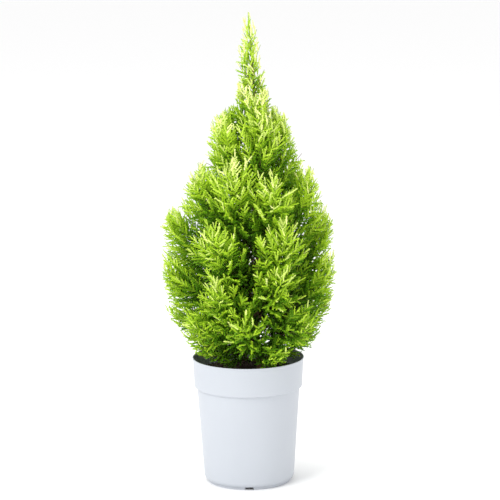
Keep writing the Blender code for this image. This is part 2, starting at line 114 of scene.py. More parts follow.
class Finish:
    """A material on the Principled shader, whose other nodes all come from one method."""

    def __init__(self, name, colour, roughness):
        self.material = bpy.data.materials.new(name)
        self.material.use_nodes = True
        self.material.diffuse_color = (*colour, 1.0)
        self.tree = self.material.node_tree
        self.shader = self.tree.nodes["Principled BSDF"]
        self.feed("Base Color", (*colour, 1.0))
        self.feed("Roughness", roughness)

    def node(self, kind, settings, sockets, output=0):
        """A new node: its settings first, then the values or links of its sockets."""
        made = self.tree.nodes.new(kind)
        for key, value in settings.items():
            setattr(made, key, value)
        for key, value in sockets.items():
            self.connect(made.inputs[key], value)
        return Wire(self, made.outputs[output])

    def connect(self, socket, value):
        """Link an output to a socket, or set the socket to a plain value."""
        if isinstance(value, Wire):
            self.tree.links.new(value.socket, socket)
        else:
            socket.default_value = value

    def feed(self, name, value):
        """Give the shader's own socket a value or a link."""
        self.connect(self.shader.inputs[name], value)

    def places(self, stretch=(1.0, 1.0, 1.0)):
        """Object coordinates, stretched along the axes."""
        spot = self.node("ShaderNodeTexCoord", {}, {}, "Object")
        return self.node("ShaderNodeMapping", {}, {"Vector": spot, "Scale": stretch})

    def noise(self, places, scale, detail=4.0):
        """Cloudy noise from 0 to 1, with about `scale` clouds to a metre."""
        return self.node("ShaderNodeTexNoise", {}, {"Vector": places, "Scale": scale, "Detail": detail})

    def blend(self, share, low, high):
        """The colour between two colours at a share, by a Mix node's own colour sockets."""
        sockets = {MIX_SHARE: share, MIX_FIRST: (*low, 1.0), MIX_SECOND: (*high, 1.0)}
        return self.node("ShaderNodeMix", {"data_type": "RGBA"}, sockets, MIX_COLOUR)

    def bump(self, height, depth):
        """Surface relief of a real depth in metres from a height of 0 to 1."""
        self.feed("Normal", self.node("ShaderNodeBump", {}, {"Height": height, "Distance": depth}))


def add_mesh(name, points, faces, finishes, smooth=True, finish_of_face=None):
    """An object at the origin from whole arrays of points and of faces with equally many corners."""
    mesh = bpy.data.meshes.new(name)
    count, corners = faces.shape
    mesh.vertices.add(len(points))
    mesh.vertices.foreach_set("co", np.ascontiguousarray(points, dtype=np.float32).ravel())
    mesh.loops.add(faces.size)
    mesh.loops.foreach_set("vertex_index", np.ascontiguousarray(faces, dtype=np.int32).ravel())
    mesh.polygons.add(count)
    mesh.polygons.foreach_set("loop_start", np.arange(count, dtype=np.int32) * corners)
    mesh.polygons.foreach_set("use_smooth", np.full(count, smooth))
    for finish in finishes:
        mesh.materials.append(finish.material)
    if finish_of_face is not None:
        mesh.polygons.foreach_set("material_index", finish_of_face.astype(np.int32))
    mesh.update(calc_edges=True)
    thing = bpy.data.objects.new(name, mesh)
    bpy.context.scene.collection.objects.link(thing)
    return thing


def rounded(corners, cut, steps=4):
    """An outline through corners, each bridged by a quadratic curve that starts and ends `cut` away, or
    less on a short side. A point just before and just after each curve keeps the sides straight."""
    corners = np.array(corners)
    share = np.linspace(0.0, 1.0, steps)[:, None]
    rows = [corners[:1]]
    for before, at, after in zip(corners, corners[1:], corners[2:]):
        back = (before - at) / np.linalg.norm(before - at)
        ahead = (after - at) / np.linalg.norm(after - at)
        shorter = min(np.linalg.norm(before - at), np.linalg.norm(after - at))
        reach = min(cut, LARGEST_CUT * shorter)
        start, end = at + reach * back, at + reach * ahead
        bridge = (1 - share) ** 2 * start + 2 * share * (1 - share) * at + share**2 * end
        guard = GUARD_CUT * reach
        rows += [start[None] + guard * back, bridge, end[None] + guard * ahead]
    rows.append(corners[-1:])
    return np.vstack(rows)


def turned(profile, sides):
    """A grid turned about Z: at each angle, the profile's radius goes out and its height up."""
    turn = np.arange(sides) * 2.0 * np.pi / sides
    radius, height = profile[:, 0][:, None], profile[:, 1][:, None]
    points = np.stack([radius * np.cos(turn), radius * np.sin(turn), height + 0.0 * turn], axis=2)
    row, side = np.meshgrid(np.arange(len(profile) - 1), np.arange(sides), indexing="ij")
    here, beside = row * sides + side, row * sides + (side + 1) % sides
    faces = np.stack([here, here + sides, beside + sides, beside], axis=2)
    return points.reshape(-1, 3), faces.reshape(-1, 4)


def weld(thing, cutters=()):
    """Close a turned mesh at its poles, cut it, and keep its sharp edges crisp."""
    shape = bmesh.new()
    shape.from_mesh(thing.data)
    bmesh.ops.remove_doubles(shape, verts=shape.verts, dist=WELD_DISTANCE)
    shape.to_mesh(thing.data)
    shape.free()
    for cutter in cutters:
        cut = thing.modifiers.new("cut", "BOOLEAN")
        cut.operation = "DIFFERENCE"
        cut.object = cutter
    if cutters:
        graph = bpy.context.evaluated_depsgraph_get()
        graph.update()
        mesh = bpy.data.meshes.new_from_object(thing.evaluated_get(graph), depsgraph=graph)
        thing.modifiers.clear()
        thing.data = mesh
        for cutter in cutters:
            bpy.data.objects.remove(cutter, do_unlink=True)
    thing.data.shade_smooth()
    thing.data.set_sharp_from_angle(angle=math.radians(CREASE_ANGLE))


def pot_cutters():
    """Boxes that notch the foot ring, half of each below the ground, and rods that drill the drain
    holes in the floor midway between the notches."""
    made = []
    for index in range(NOTCH_COUNT):
        azimuth = math.radians(FIRST_NOTCH + index * 360.0 / NOTCH_COUNT)
        box = bmesh.new()
        bmesh.ops.create_cube(box, size=1.0)
        size = Matrix.Diagonal((NOTCH_DEPTH, NOTCH_WIDTH, 2.0 * NOTCH_HEIGHT, 1.0))
        place = Matrix.Rotation(azimuth, 4, "Z") @ Matrix.Translation((FOOT_RADIUS, 0.0, 0.0))
        made.append((box, place @ size))
        rod = bmesh.new()
        bmesh.ops.create_cone(rod, cap_ends=True, segments=DRAIN_SIDES, radius1=DRAIN_RADIUS,
                              radius2=DRAIN_RADIUS, depth=8.0 * FLOOR_THICKNESS)
        turn = Matrix.Rotation(azimuth + math.pi / NOTCH_COUNT, 4, "Z")
        made.append((rod, turn @ Matrix.Translation((DRAIN_RING_RADIUS, 0.0, FOOT_HEIGHT))))
    cutters = []
    for shape, matrix in made:
        mesh = bpy.data.meshes.new("pot_cutter")
        shape.to_mesh(mesh)
        shape.free()
        cutter = bpy.data.objects.new("pot_cutter", mesh)
        cutter.matrix_world = matrix
        bpy.context.scene.collection.objects.link(cutter)
        cutters.append(cutter)
    return cutters


pale_plastic = Finish("pale_plastic", PALE, 0.42)
cloud = pale_plastic.noise(pale_plastic.places(), CLOUD_SCALE)
pale_plastic.feed("Base Color", pale_plastic.blend(cloud, *PALE_CLOUDS))
grain = pale_plastic.noise(pale_plastic.places((1.0, 1.0, 0.3)), GRAIN_SCALE, 2.0)
pale_plastic.feed("Roughness", 0.36 + 0.14 * grain)
pale_plastic.bump(grain, GRAIN_DEPTH)

# A near-black colour for the pot's inner skin, with a faint mottle.
dark_inner_skin = Finish("dark_inner_skin", DARK, 0.5)
dust = dark_inner_skin.noise(dark_inner_skin.places(), DUST_SCALE)
dark_inner_skin.feed("Base Color", dark_inner_skin.blend(dust, *DARK_DUST))
dark_inner_skin.feed("Roughness", 0.42 + 0.2 * dust)

foot_inner = FOOT_RADIUS - FOOT_WIDTH
floor_top = FOOT_HEIGHT + FLOOR_THICKNESS
outline = [
    (0.0, FOOT_HEIGHT),
    (foot_inner, FOOT_HEIGHT),
    (foot_inner, 0.0),
    (FOOT_RADIUS, 0.0),
    (FOOT_RADIUS, FOOT_HEIGHT),
    (HEEL_RADIUS, HEEL_HEIGHT),
    (BODY_BOTTOM_RADIUS, BODY_BOTTOM),
    (BODY_TOP_RADIUS, COLLAR_BOTTOM - WALL),
    (COLLAR_BOTTOM_RADIUS, COLLAR_BOTTOM),
    (COLLAR_TOP_RADIUS, POT_HEIGHT - 1.5 * LIP_DEPTH),
    (LIP_RADIUS, POT_HEIGHT - LIP_DEPTH),
    (LIP_RADIUS, POT_HEIGHT),
    (LIP_RADIUS - WALL, POT_HEIGHT),
    (COLLAR_BOTTOM_RADIUS - WALL, COLLAR_BOTTOM + WALL),
    (BODY_TOP_RADIUS - WALL, COLLAR_BOTTOM),
    (BODY_BOTTOM_RADIUS - WALL, BODY_BOTTOM + WALL),
    (BODY_BOTTOM_RADIUS - 3.0 * WALL, floor_top),
    (0.0, floor_top),
]
points, faces = turned(rounded(outline, EDGE_ROUND)[::-1], POT_SIDES)

# The dark inner skin is every face above the pot's underside that lies inside the middle of the wall.
middles = points[faces].mean(axis=1)
mid_wall = np.interp(middles[:, 2], [0.0, COLLAR_BOTTOM, POT_HEIGHT],
                     [foot_inner, BODY_TOP_RADIUS - 0.5 * WALL, LIP_RADIUS - 1.4 * WALL])
above_underside = middles[:, 2] > FOOT_HEIGHT + SKIN_CLEAR
on_inside = (np.hypot(middles[:, 0], middles[:, 1]) < mid_wall) & above_underside
pot = add_mesh("nursery_pot", points, faces, [pale_plastic, dark_inner_skin], True, on_inside)
weld(pot, pot_cutters())
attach(pot, "root")
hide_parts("pot")


# The peat. A dark, crumbly potting mix that fills the pot to a finger's width below the rim,
# with loose crumbs on a surface that watering has left uneven.
GAP = 0.0003
SOIL_TOP = 0.1308
SOIL_DIP = 0.0016
SOIL_SIDES = 96
SOIL_RINGS = 34
PEAT_RELIEF = 0.00066
LUMP_PITCH = 0.011
GRIT_PITCH = 0.004
CRUMBS = 1100
CRUMB_RADII = (0.0004, 0.0017)
CRUMB_SQUASH = (0.55, 1.0)
CRUMB_LUMPS = (0.75, 1.2)
CRUMB_LIFT = 0.0002
RIM_CLEAR = 0.002
PEAT_DARK, PEAT_LIGHT = (0.010, 0.007, 0.004), (0.075, 0.045, 0.025)


def ripple(points, pitch, seed, waves=14):
    """Smooth uneven relief of about -1 to 1: the sum of sine waves about a pitch long, in seeded
    directions, over the root of their number."""
    rng = np.random.default_rng(seed)
    ways = rng.normal(size=(waves, 3))
    pitches = pitch * rng.uniform(0.6, 1.6, waves)
    ways *= (2.0 * np.pi / pitches / np.linalg.norm(ways, axis=1))[:, None]
    return np.sin(points @ ways.T + rng.uniform(0.0, 2.0 * np.pi, waves)).sum(axis=-1) / math.sqrt(waves)


def wall_inside(height):
    """The pot's inner radius at a height, straight between its bottom, its step and its lip."""
    return np.interp(height, [BODY_BOTTOM + WALL, COLLAR_BOTTOM, COLLAR_BOTTOM + WALL, POT_HEIGHT],
                     [BODY_BOTTOM_RADIUS - WALL, BODY_TOP_RADIUS - WALL, COLLAR_BOTTOM_RADIUS - WALL,
                      LIP_RADIUS - WALL])


def soil_height(places):
    """The peat's top: level, dipping towards the wall by a square law, with two sizes of relief."""
    share = np.hypot(places[:, 0], places[:, 1]) / wall_inside(SOIL_TOP)
    flat = places * (1.0, 1.0, 0.0)
    relief = ripple(flat, LUMP_PITCH, 5) + ripple(flat, GRIT_PITCH, 6)
    return SOIL_TOP - SOIL_DIP * share**2 + PEAT_RELIEF * relief


peat_mix = Finish("peat_mix", (0.03, 0.02, 0.013), 0.95)
clod = peat_mix.noise(peat_mix.places(), 420.0, 6.0)
peat_mix.feed("Base Color", peat_mix.blend(clod, PEAT_DARK, PEAT_LIGHT))
peat_mix.bump(clod, 0.0006)

edge = float(wall_inside(SOIL_TOP - SOIL_DIP)) - 3.0 * GAP
top_rows = np.linspace(0.0, edge, SOIL_RINGS)
profile = np.vstack([
    np.stack([top_rows, np.full(SOIL_RINGS, SOIL_TOP)], axis=1),
    (float(wall_inside(COLLAR_BOTTOM)) - 3.0 * GAP, COLLAR_BOTTOM),
    (BODY_BOTTOM_RADIUS - WALL - 3.0 * GAP, BODY_BOTTOM + 2.0 * WALL),
    (BODY_BOTTOM_RADIUS - 3.0 * WALL - 2.0 * GAP, floor_top + GAP),
    (0.0, floor_top + GAP),
])
points, faces = turned(profile, SOIL_SIDES)
top = slice(0, SOIL_RINGS * SOIL_SIDES)
points[top, 2] = soil_height(points[top])
peat = add_mesh("peat", points, faces, [peat_mix])
weld(peat)
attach(peat, "root")
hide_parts("soil")

rng = np.random.default_rng(11)
spread = (edge - RIM_CLEAR) * np.sqrt(rng.random(CRUMBS))
turn = rng.random(CRUMBS) * 2.0 * np.pi
seats = np.stack([spread * np.cos(turn), spread * np.sin(turn), np.zeros(CRUMBS)], axis=1)
seats[:, 2] = soil_height(seats) + CRUMB_LIFT
shape = bmesh.new()
bmesh.ops.create_icosphere(shape, subdivisions=1, radius=1.0)
mesh = bpy.data.meshes.new("crumb")
shape.to_mesh(mesh)
shape.free()
ball = np.empty((len(mesh.vertices), 3), np.float32)
mesh.vertices.foreach_get("co", ball.ravel())
ball_faces = np.empty((len(mesh.polygons), 3), np.int32)
mesh.loops.foreach_get("vertex_index", ball_faces.ravel())
bpy.data.meshes.remove(mesh)
size = rng.uniform(*CRUMB_RADII, (CRUMBS, 1, 1)) * rng.uniform(*CRUMB_SQUASH, (CRUMBS, 1, 3))
points = seats[:, None, :] + ball[None] * size * rng.uniform(*CRUMB_LUMPS, (CRUMBS, len(ball), 1))
faces = ball_faces[None] + np.arange(CRUMBS)[:, None, None] * len(ball)
crumbs = add_mesh("peat_crumbs", points.reshape(-1, 3), faces.reshape(-1, 3), [peat_mix], False)
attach(crumbs, "root")


# The trunk. One slim upright stem with a flared foot, of young brown bark that splits in fine
# lengthwise ridges. It leans a little and runs up through the foliage to the leader.
# Its middle line goes through these points: x, y, and the share of its height.
TRUNK_LINE = ((0.0140, 0.000, 0.0), (0.0138, 0.000, 0.03), (0.0105, -0.001, 0.16), (0.0125, 0.002, 0.46),
              (0.0175, 0.002, 0.82), (0.0140, 0.000, 0.93), (0.0106, 0.000, 1.0))
TRUNK_TOP = 0.4485
TRUNK_RADIUS = 0.0034
TRUNK_TIP_RADIUS = 0.0011
FLARE = 0.0019
FLARE_HEIGHT = 0.006
TRUNK_ROWS = 110
TRUNK_SIDES = 20
FOOT_CROWDING = 1.35
BARK_RELIEF = 0.00028
BARK_PITCH = 0.0024
RIDGE_STRETCH = 0.2
STEEP = 0.8
BARK = (0.13, 0.075, 0.04)
BARK_DARK, BARK_LIGHT = (0.050, 0.030, 0.014), (0.26, 0.15, 0.068)
FIBRE_SCALE = 900.0
FIBRE_DEPTH = 0.0003


def smooth_line(points, count):
    """Points evenly along a Catmull-Rom curve through the given points."""
    ends = np.vstack([2 * points[0] - points[1], points, 2 * points[-1] - points[-2]])
    at = np.linspace(0.0, len(points) - 1.0, count)
    span = np.minimum(at.astype(int), len(points) - 2)
    t = (at - span)[:, None]
    a, b, c, d = (ends[span + shift] for shift in range(4))
    return 0.5 * (2 * b + (c - a) * t + (2 * a - 5 * b + 4 * c - d) * t**2 + (3 * b - a - 3 * c + d) * t**3)


def trunk_path(count):
    """The trunk's middle line from the soil to its tip, with its points closer at the foot."""
    line = np.array(TRUNK_LINE)
    tall = TRUNK_TOP - SOIL_TOP - GAP
    line[:, 2] = SOIL_TOP + GAP + line[:, 2] * tall
    heights = np.linspace(0.0, 1.0, count) ** FOOT_CROWDING * tall + SOIL_TOP + GAP
    fine = smooth_line(line, 200)
    return np.stack([np.interp(heights, fine[:, 2], fine[:, axis]) for axis in range(3)], axis=1)


def trunk_radius(height):
    """The trunk's radius: an even taper and a flare at the foot that dies away exponentially."""
    share = np.clip((height - SOIL_TOP) / (TRUNK_TOP - SOIL_TOP), 0.0, 1.0)
    taper = TRUNK_RADIUS + share * (TRUNK_TIP_RADIUS - TRUNK_RADIUS)
    return taper + FLARE * np.exp(-(height - SOIL_TOP) / FLARE_HEIGHT)


def swept(paths, radii, sides, relief=None):
    """Tubes along many paths at once: at each point of a path a ring of the given radius square to
    it, pushed out by the relief, each ring joined to the next and each end closed by a point."""
    batch, rows = paths.shape[:2]
    radii = np.broadcast_to(radii, (batch, rows))
    way = np.gradient(paths, axis=1)
    way /= np.linalg.norm(way, axis=2, keepdims=True)
    steep = np.abs(way.mean(axis=1)[:, 2:]) > STEEP
    guide = np.where(steep, (1.0, 0.0, 0.0), (0.0, 0.0, 1.0))[:, None, :]
    across = np.cross(way, guide)
    across /= np.linalg.norm(across, axis=2, keepdims=True)
    upward = np.cross(way, across)
    turn = (np.arange(sides) * 2.0 * np.pi / sides)[:, None]
    ring = across[:, :, None, :] * np.cos(turn) + upward[:, :, None, :] * np.sin(turn)
    skin = paths[:, :, None, :] + radii[:, :, None, None] * ring
    if relief:
        skin = skin + relief(skin)[..., None] * ring
    points = np.concatenate([skin.reshape(batch, -1, 3), paths[:, [0, -1]]], axis=1)
    row, side = np.meshgrid(np.arange(rows - 1), np.arange(sides), indexing="ij")
    here, beside = row * sides + side, row * sides + (side + 1) % sides
    walls = np.stack([here, beside, beside + sides, here, beside + sides, here + sides], axis=2)
    first, after = np.arange(sides), (np.arange(sides) + 1) % sides
    last = (rows - 1) * sides
    foot = np.stack([np.full(sides, rows * sides), after, first], axis=1)
    tip = np.stack([np.full(sides, rows * sides + 1), last + first, last + after], axis=1)
    faces = np.vstack([walls.reshape(-1, 3), foot, tip])
    faces = faces[None] + (np.arange(batch) * (rows * sides + 2))[:, None, None]
    return points.reshape(-1, 3), faces.reshape(-1, 3)


def bark_relief(skin):
    """Ridges that run lengthwise: relief read five times as slowly along the height as across it."""
    return BARK_RELIEF * ripple(skin * (1.0, 1.0, RIDGE_STRETCH), BARK_PITCH, 21)


bark = Finish("bark", BARK, 0.85)
fibre = bark.noise(bark.places((1.0, 1.0, 0.16)), FIBRE_SCALE, 6.0)
bark.feed("Base Color", bark.blend(fibre, BARK_DARK, BARK_LIGHT))
bark.feed("Roughness", 0.70 + 0.25 * fibre)
bark.bump(fibre, FIBRE_DEPTH)

path = trunk_path(TRUNK_ROWS)
points, faces = swept(path[None], trunk_radius(path[:, 2]), TRUNK_SIDES, bark_relief)
trunk = add_mesh("trunk_bark", points, faces, [bark])
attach(trunk, "root")
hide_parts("trunk")


# The boughs. Slim side limbs of the middle and broad tiers, of the same young bark, that leave
# the trunk rising and end where the foliage begins. The crown's rule places every limb's line.
# The crown's rows are a height and its reaches to the left and to the right, from the photo's outline.
CROWN = ((0.140, 0.050, 0.060), (0.155, 0.066, 0.079), (0.172, 0.076, 0.090), (0.196, 0.094, 0.098),
         (0.225, 0.099, 0.104), (0.300, 0.100, 0.100), (0.340, 0.080, 0.088), (0.378, 0.058, 0.072),
         (0.428, 0.040, 0.047), (0.446, 0.012, 0.030), (0.490, 0.009, 0.018), (0.550, -0.001, 0.009))
TREE_TOP = 0.550
LEADER_TOP_X = 0.0038
TIER_FIELDS = ("plumes", "tip_height", "root_height", "root_spread", "azimuth", "root_rise", "tip_rise",
               "bare", "size")
TIERS = {
    "flank": (3, 0.452, 0.376, 0.020, 35.0, 62.0, 84.0, 0.0, 0.66),
    "shoulder": (5, 0.428, 0.316, 0.024, 2.0, 56.0, 82.0, 0.0, 0.85),
    "upper": (7, 0.366, 0.258, 0.028, -12.9, 46.0, 68.0, 0.0, 1.0),
    "middle": (6, 0.310, 0.214, 0.024, 0.0, 38.0, 58.0, 0.26, 1.10),
    "broad": (7, 0.248, 0.187, 0.024, -12.9, 33.0, 46.0, 0.26, 1.10),
    "low": (7, 0.197, 0.161, 0.022, -90.0, 30.0, 22.0, 0.0, 1.0),
    "skirt": (4, 0.162, 0.144, 0.008, 200.0, 22.0, -4.0, 0.0, 0.80),
}
LEADER_SIZE = 0.70
LEADER_RISES = (1.50, 1.52)
LIMB_POINTS = 41
TIP_SCATTER = 0.009
AZIMUTH_SCATTER = 7.0
GOLDEN_SHARE = 0.618
BOUGH_RADIUS = 0.0016
BOUGH_TIP_RADIUS = 0.0011
BOUGH_CLEAR = 0.0035
BOUGH_ROWS = 24
BOUGH_SIDES = 12
BOUGH_RELIEF = 0.5
GLANCE = 0.02
SEED = 41


def crown_ring(height):
    """Middle and radius of the crown's round section at a height, from its two side reaches."""
    rows = np.array(CROWN)
    left = np.interp(height, rows[:, 0], rows[:, 1])
    right = np.interp(height, rows[:, 0], rows[:, 2])
    return 0.5 * (right - left), 0.5 * (right + left)


def bend(start, start_way, end, end_way, count):
    """A cubic curve that leaves its start and meets its end in the given directions."""
    third = np.linalg.norm(end - start) / 3.0
    a, b, c, d = start, start + third * start_way, end - third * end_way, end
    t = np.linspace(0.0, 1.0, count)[:, None]
    return (1 - t) ** 3 * a + 3 * t * (1 - t) ** 2 * b + 3 * t**2 * (1 - t) * c + t**3 * d


def heading(azimuth, rise):
    """The unit direction at an azimuth about Z and a rise above level, in radians."""
    flat = math.cos(rise)
    return np.array([flat * math.cos(azimuth), flat * math.sin(azimuth), math.sin(rise)])


def trunk_axis(height):
    """The point of the trunk's middle line at a height."""
    line = trunk_path(60)
    return np.array([np.interp(height, line[:, 2], line[:, axis]) for axis in range(3)])


def limbs_of_crown():
    """Each limb's middle line from the trunk's axis to its plume's tip, its bare share and its size."""
    rng = np.random.default_rng(SEED)
    foot, top = trunk_axis(TRUNK_TOP) + (0.0, 0.0, GAP), np.array([LEADER_TOP_X, 0.0, TREE_TOP])
    foot_way, top_way = (heading(math.pi, rise) for rise in LEADER_RISES)
    line = bend(foot, foot_way, top, top_way, LIMB_POINTS)
    limbs = {"leader": (line, 0.0, LEADER_SIZE)}
    for name, values in TIERS.items():
        tier = dict(zip(TIER_FIELDS, values))
        for index in range(tier["plumes"]):
            turn = tier["azimuth"] + 360.0 * index / tier["plumes"]
            azimuth = math.radians(turn + rng.uniform(-1, 1) * AZIMUTH_SCATTER)
            tip_z = tier["tip_height"] + rng.uniform(-1, 1) * TIP_SCATTER
            step = (index * GOLDEN_SHARE) % 1.0 - 0.5
            root = trunk_axis(tier["root_height"] + tier["root_spread"] * step)
            middle, radius = crown_ring(tip_z)
            tip = np.array([middle + radius * math.cos(azimuth), radius * math.sin(azimuth), tip_z])
            away = math.atan2(tip[1] - root[1], tip[0] - root[0])
            root_way = heading(away, math.radians(tier["root_rise"]))
            tip_way = heading(azimuth, math.radians(tier["tip_rise"]))
            line = bend(root, root_way, tip, tip_way, LIMB_POINTS)
            limbs[f"{name}_{index + 1}"] = (line, tier["bare"], tier["size"])
    return limbs


def along(line, shares):
    """Points at shares of a line's length, and the directions from a little behind to a little ahead."""
    steps = np.linalg.norm(np.diff(line, axis=0), axis=1)
    travelled = np.concatenate([[0.0], np.cumsum(steps)]) / steps.sum()

    def spot(share):
        held = np.clip(share, 0.0, 1.0)
        return np.stack([np.interp(held, travelled, line[:, axis]) for axis in range(3)], axis=-1)

    place = spot(shares)
    way = spot(shares + GLANCE) - spot(shares - GLANCE)
    return place, way / np.linalg.norm(way, axis=-1, keepdims=True)


limbs = limbs_of_crown()
for name, (line, bare, size) in limbs.items():
    if not bare:
        continue
    length = np.linalg.norm(np.diff(line, axis=0), axis=1).sum()
    path = along(line, np.linspace(BOUGH_CLEAR / length, bare, BOUGH_ROWS))[0]
    points, faces = swept(path[None], np.linspace(BOUGH_RADIUS, BOUGH_TIP_RADIUS, BOUGH_ROWS), BOUGH_SIDES,
                          lambda skin: BOUGH_RELIEF * bark_relief(skin))
    bough = add_mesh(name + "_bough_bark", points, faces, [bark])
    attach(bough, "root")
    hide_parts(name + "_bough")


# The foliage. Each limb ends in a plume: a stem with side twigs all round it, each a pinnate
# spray of short shoots, and each shoot a green cord set with scale needles. New growth at the
# tips and on the outside is golden. Shade is painted in too: shoots deeper inside the crown
# turn mid green and then a near-black deep green. Light is painted on the top, whose shoots
# are lighter and more golden the higher they sit.
STEM_RADIUS = 0.0011
STEM_TIP_RADIUS = 0.0005
STEM_ROWS = 16
STEM_SIDES = 6
STEM_STARTS = {"leader": 0.002, "bare": 0.004, "leafy": 0.03}
STEM_END = 0.985
CORE_START = 0.16
LEADER_START = 0.04
TWIG_STEP = 0.0021
TWIG_CROWDING = 1.2
TWIG_END = 0.95
TWIG_RISE = 0.30
TWIG_LEAN, TWIG_LEAN_LOSS, TWIG_LEAN_SCATTER = 48.0, 22.0, 6.0
TWIG_CUTS = (0.35, 0.45, 0.58, 0.70, 0.82, 0.91, 1.0)
TWIG_RADIUS = 0.0006
TWIG_POINTS = 5
TWIG_SIDES = 3
LEADER_GREEN_START, GREEN_START = 0.15, 0.35
PLUME_HALF_WIDTH = 0.028
SHOOT_STEP = 0.0024
SHOOT_LEAN, SHOOT_LEAN_LOSS, SHOOT_LEAN_SCATTER = 48.0, 16.0, 8.0
TIP_SHOOT_LEAN = 0.08
SHOOT_LENGTH = 0.0140
SHORT_TWIG = 0.045
SHOOT_CURL = 0.10
SHOOT_WIDENING = 1.15
SHOOT_KINDS = 4
FEWEST_SHOOTS = 4
TRUNK_CLEAR = 0.0028
NEEDLES = 11
CORD_RADIUS = 0.078
NEEDLE_RADIUS = 0.052
NEEDLE_LENGTH, NEEDLE_LOSS = 0.26, 0.11
NEEDLE_LEANS = (0.45, 0.75)
GOLDEN_ANGLE = math.radians(137.5)
REACH_MARGIN = 0.003
TIP_STAND_OUT = 0.010
RIM_MARGIN = 0.003
RIM_LIFT = 0.001
PEAT_LIFT = 0.004
TONES = 10
# Tone weights: a base, how far out a shoot sits (golden outer growth, and painted shade inside the crown),
# its place along its twig and along its stem (golden tips), its height (painted light on the top) and a
# random scatter.
TONE_BASE, TONE_OUTER_AND_PAINTED_SHADE, TONE_SPOT, TONE_STEM, TONE_HEIGHT_PAINTED_LIGHT, TONE_SCATTER = 0.02, 0.40, 0.28, 0.16, 0.60, 0.07
TONE_STOPS = (0.0, 0.4, 0.75, 1.0)
# Colour stops from deep to gold. The deep stop is near black, painted shade for the crown's inside, and the
# gold stop is lightened to near white, painted light.
DEEP_AND_PAINTED_SHADE, MID, BRIGHT, GOLD_AND_PAINTED_LIGHT = (0.008, 0.045, 0.001), (0.125, 0.33, 0.004), (0.55, 0.79, 0.03), (0.95, 1.0, 0.40)
YOUNG_BARK = (0.13, 0.085, 0.032)
GREEN_TWIG = (0.30, 0.42, 0.06)


def shoot_shape(seed):
    """A shoot of unit length along X: a slim three-sided spike, and needles in a golden spiral that
    lean forward from it, each a three-sided spike of its own with its foot inside the cord."""
    rng = np.random.default_rng(seed)
    thirds = (np.arange(3) * 2.0 * np.pi / 3.0)[:, None]
    corners = CORD_RADIUS * np.hstack([0.0 * thirds, np.cos(thirds), np.sin(thirds)])
    spikes = [np.vstack([corners, [1.0, 0.0, 0.0]])]
    for index in range(NEEDLES):
        foot = 0.06 + 0.80 * index / (NEEDLES - 1)
        turn = index * GOLDEN_ANGLE + rng.uniform(-0.4, 0.4)
        out = np.array([0.0, math.cos(turn), math.sin(turn)])
        lean = rng.uniform(*NEEDLE_LEANS)
        way = math.cos(lean) * np.array([1.0, 0.0, 0.0]) + math.sin(lean) * out
        side = np.cross(way, out)
        side /= np.linalg.norm(side)
        lift = np.cross(side, way)
        length = (NEEDLE_LENGTH - NEEDLE_LOSS * foot) * rng.uniform(0.8, 1.2)
        base = np.array([foot, 0.0, 0.0])
        corners = base + NEEDLE_RADIUS * (np.cos(thirds) * side + np.sin(thirds) * lift)
        spikes.append(np.vstack([corners, base + length * way]))
    points = np.concatenate(spikes)
    points[:, 2] += SHOOT_CURL * points[:, 0] ** 2
    spike = np.array([[0, 1, 3], [1, 2, 3], [2, 0, 3]])
    faces = np.concatenate([spike + 4 * index for index in range(NEEDLES + 1)])
    return points, faces


def facing_out(points, faces):
    """The faces, with the corner order turned where a spike would point inwards."""
    a, b, c = (points[faces[:, corner]] for corner in range(3))
    spike = faces[:, 0] // 4
    heart = points.reshape(-1, 4, 3).mean(axis=1)[spike]
    inward = np.einsum("ij,ij->i", np.cross(b - a, c - a), a - heart) < 0.0
    return np.where(inward[:, None], faces[:, [0, 2, 1]], faces)


def frames(way, lean):
    """Three unit directions for each piece: its own, one square to it, and one that leans to `lean`."""
    side = np.cross(lean, way)
    side /= np.linalg.norm(side, axis=-1, keepdims=True)
    return np.stack([way, side, np.cross(way, side)], axis=-2)


def plume_width(share):
    """Half width of a plume along its stem, as a share of its widest: a sine arch that ends slim."""
    return np.sin(np.pi * (0.18 + 0.77 * share)) ** 0.8


def around(way, turn):
    """Unit directions square to a way, turned about it."""
    guide = np.where(np.abs(way[..., 2:]) < 0.9, (0.0, 0.0, 1.0), (1.0, 0.0, 0.0))
    first = np.cross(guide, way)
    first /= np.linalg.norm(first, axis=-1, keepdims=True)
    return np.cos(turn)[..., None] * first + np.sin(turn)[..., None] * np.cross(way, first)


def within(points, share):
    """Which points are inside the crown, above the peat and the pot's rim. Beside the trunk, the foot
    of a plume keeps a little further in than its tip, so that the tips stand out."""
    middle, radius = crown_ring(points[..., 2])
    beside_trunk = points[..., 2] < TRUNK_TOP
    margin = REACH_MARGIN - TIP_STAND_OUT * (1.0 - share) * beside_trunk
    inside = np.hypot(points[..., 0] - middle, points[..., 1]) < radius + margin
    radial = np.hypot(points[..., 0], points[..., 1])
    over_rim = radial > wall_inside(POT_HEIGHT) - RIM_MARGIN
    floor = np.where(over_rim, POT_HEIGHT + RIM_LIFT, SOIL_TOP + PEAT_LIFT)
    return inside & (points[..., 2] > floor) & (points[..., 2] < TREE_TOP + GAP)


